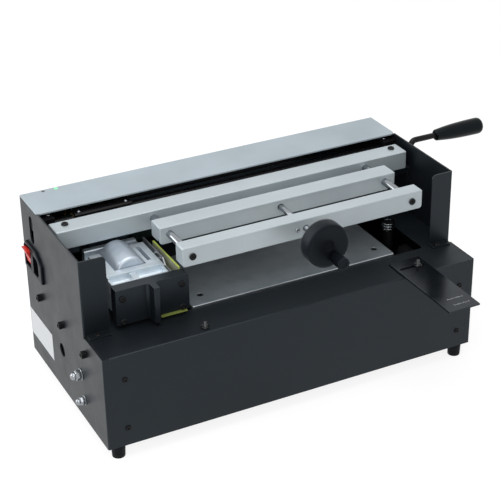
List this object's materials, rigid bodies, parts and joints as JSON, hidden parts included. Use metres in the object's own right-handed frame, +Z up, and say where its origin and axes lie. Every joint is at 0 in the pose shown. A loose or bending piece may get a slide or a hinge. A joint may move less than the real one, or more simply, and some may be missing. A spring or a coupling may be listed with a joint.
{
  "type": "perfect binding machine",
  "caption": "Tabletop perfect binder that clamps a book block, glues its spine with a heated roller carriage and presses the cover on with a lever-raised table",
  "frame": {"origin": "the middle of the whole machine's footprint, on the plane of the feet's soles", "axes": "+X to the operator's right along the clamp, +Y from the operator to the back, +Z up"},
  "size_m": [0.686, 0.38, 0.2683],
  "materials": {
    "black_coat": "fine satin powder coat",
    "pale_coat": "light grey satin powder coat",
    "bare_aluminium": "drawn and machined, with faint lines",
    "bright_steel": "ground and plated",
    "brushed_steel": "zinc plated sheet",
    "black_steel": "black oxide on steel",
    "bronze": "sintered bronze",
    "black_moulding": "moulded, slightly rough",
    "black_gloss": "moulded, semi-gloss",
    "red_rocker": "moulded, gloss",
    "lamp": "clear tinted plastic",
    "foot_rubber": "moulded rubber",
    "roller_steel": "fine blasted steel",
    "glass_fibre": "yellow-green laminate",
    "hard_fibre": "pale yellow-grey laminate",
    "cast_iron": "painted casting",
    "circuit_board": "green solder mask"
  },
  "bodies": {
    "housing": {"left_side_panel": "black_coat", "right_side_panel": "black_coat", "deck_plate": "black_coat", "front_panel": "black_coat", "bottom_plate": "black_coat", "rear_panel": "black_coat", "top_lid": "pale_coat", "indicator_lamps": "lamp", "feet": "foot_rubber", "rear_jaw_bar": "bare_aluminium", "rear_bar_brackets": "black_coat", "rear_bar_screws": "black_steel", "jaw_guide_rods": "bright_steel", "front_bar": "bare_aluminium", "front_bar_screws": "black_steel", "clamp_nut": "bronze", "nut_screws": "bright_steel", "power_inlet": "black_moulding", "inlet_pins": "bright_steel", "side_screws": "black_steel", "front_screws": "black_steel", "acorn_nuts": "bright_steel", "shaft_pedestals": "cast_iron", "guide_posts": "black_steel", "post_collars": "bright_steel", "carriage_rails": "black_steel", "rail_blocks": "black_steel", "control_board": "circuit_board"},
    "jaw": {"moving_jaw": "bare_aluminium", "screw_collar": "black_steel"},
    "clamp_wheel": {"clamp_screw": "bright_steel", "handwheel": "black_moulding"},
    "crank": {"crank_handle": "black_moulding"},
    "rocker": {"power_rocker": "red_rocker"},
    "table": {"nipping_table": "bare_aluminium", "table_screws": "black_steel", "table_brackets": "brushed_steel", "guide_blocks": "bronze"},
    "lift": {"lift_shaft": "bright_steel", "lift_arms": "brushed_steel", "lever_arm": "black_steel", "lever_grip": "black_gloss"},
    "arm_rollers": {"lift_rollers": "brushed_steel"},
    "carriage": {"carriage_front": "black_coat", "carriage_screws": "black_steel", "carriage_glide": "hard_fibre", "glue_pot": "bare_aluminium", "heater_cartridges": "brushed_steel", "glue_roller_axle": "bright_steel", "doctor_plate": "bare_aluminium", "pot_side_plate": "brushed_steel", "insulation_board": "glass_fibre", "insulation_spacers": "bright_steel", "carriage_bracket": "black_coat", "slide_housing": "black_steel", "slide_bushes": "bronze"},
    "roller": {"glue_roller": "roller_steel"},
    "gauge": {"side_gauge": "black_coat"},
    "left_thumb": {"thumb_screw_left": "black_steel"},
    "right_thumb": {"thumb_screw_right": "black_steel"}
  },
  "joints": [
    {"name": "jaw_slide", "type": "slide", "parent": "housing", "child": "jaw", "axis": [0, 1, 0], "range_m": [-0.0251, 0.023]},
    {"name": "clamp_screw_turn", "type": "hinge", "parent": "jaw", "child": "clamp_wheel", "pos_m": [-0.0256, -0.085, 0.2383], "axis": [0, 1, 0], "range_deg": [-4520, 4142]},
    {"name": "crank_spin", "type": "hinge", "parent": "clamp_wheel", "child": "crank", "pos_m": [-0.0172, -0.115, 0.2225], "axis": [0, 1, 0], "continuous": true},
    {"name": "power_switch", "type": "hinge", "parent": "housing", "child": "rocker", "pos_m": [-0.325, 0.1655, 0.177], "axis": [0, 1, 0], "range_deg": [0, 18]},
    {"name": "table_lift", "type": "slide", "parent": "housing", "child": "table", "axis": [0, 0, 1], "range_m": [0, 0.068]},
    {"name": "lever_turn", "type": "hinge", "parent": "housing", "child": "lift", "pos_m": [-0.0256, 0.065, 0.084], "axis": [1, 0, 0], "range_deg": [-0.1, 90.1]},
    {"name": "arm_roller_spin", "type": "hinge", "parent": "lift", "child": "arm_rollers", "pos_m": [-0.0256, 0.09894, 0.05006], "axis": [1, 0, 0], "continuous": true},
    {"name": "carriage_slide", "type": "slide", "parent": "housing", "child": "carriage", "axis": [-1, 0, 0], "range_m": [-0.362, 0]},
    {"name": "glue_roller_spin", "type": "hinge", "parent": "carriage", "child": "roller", "pos_m": [-0.2435, 0.047, 0.1995], "axis": [0, 1, 0], "continuous": true},
    {"name": "gauge_slide", "type": "slide", "parent": "housing", "child": "gauge", "axis": [1, 0, 0], "range_m": [-0.008, 0.0245]},
    {"name": "left_thumb_turn", "type": "hinge", "parent": "housing", "child": "left_thumb", "pos_m": [-0.185, -0.073, 0.154], "axis": [0, 0, 1], "continuous": true},
    {"name": "right_thumb_turn", "type": "hinge", "parent": "housing", "child": "right_thumb", "pos_m": [0.133, -0.067, 0.156], "axis": [0, 0, 1], "continuous": true}
  ],
  "couplings": [
    {"joint": "clamp_screw_turn", "follows": "jaw_slide", "rad_per_m": 3141.6},
    {"joint": "lever_turn", "follows": "table_lift", "rad_per_m": 23.1}
  ]
}
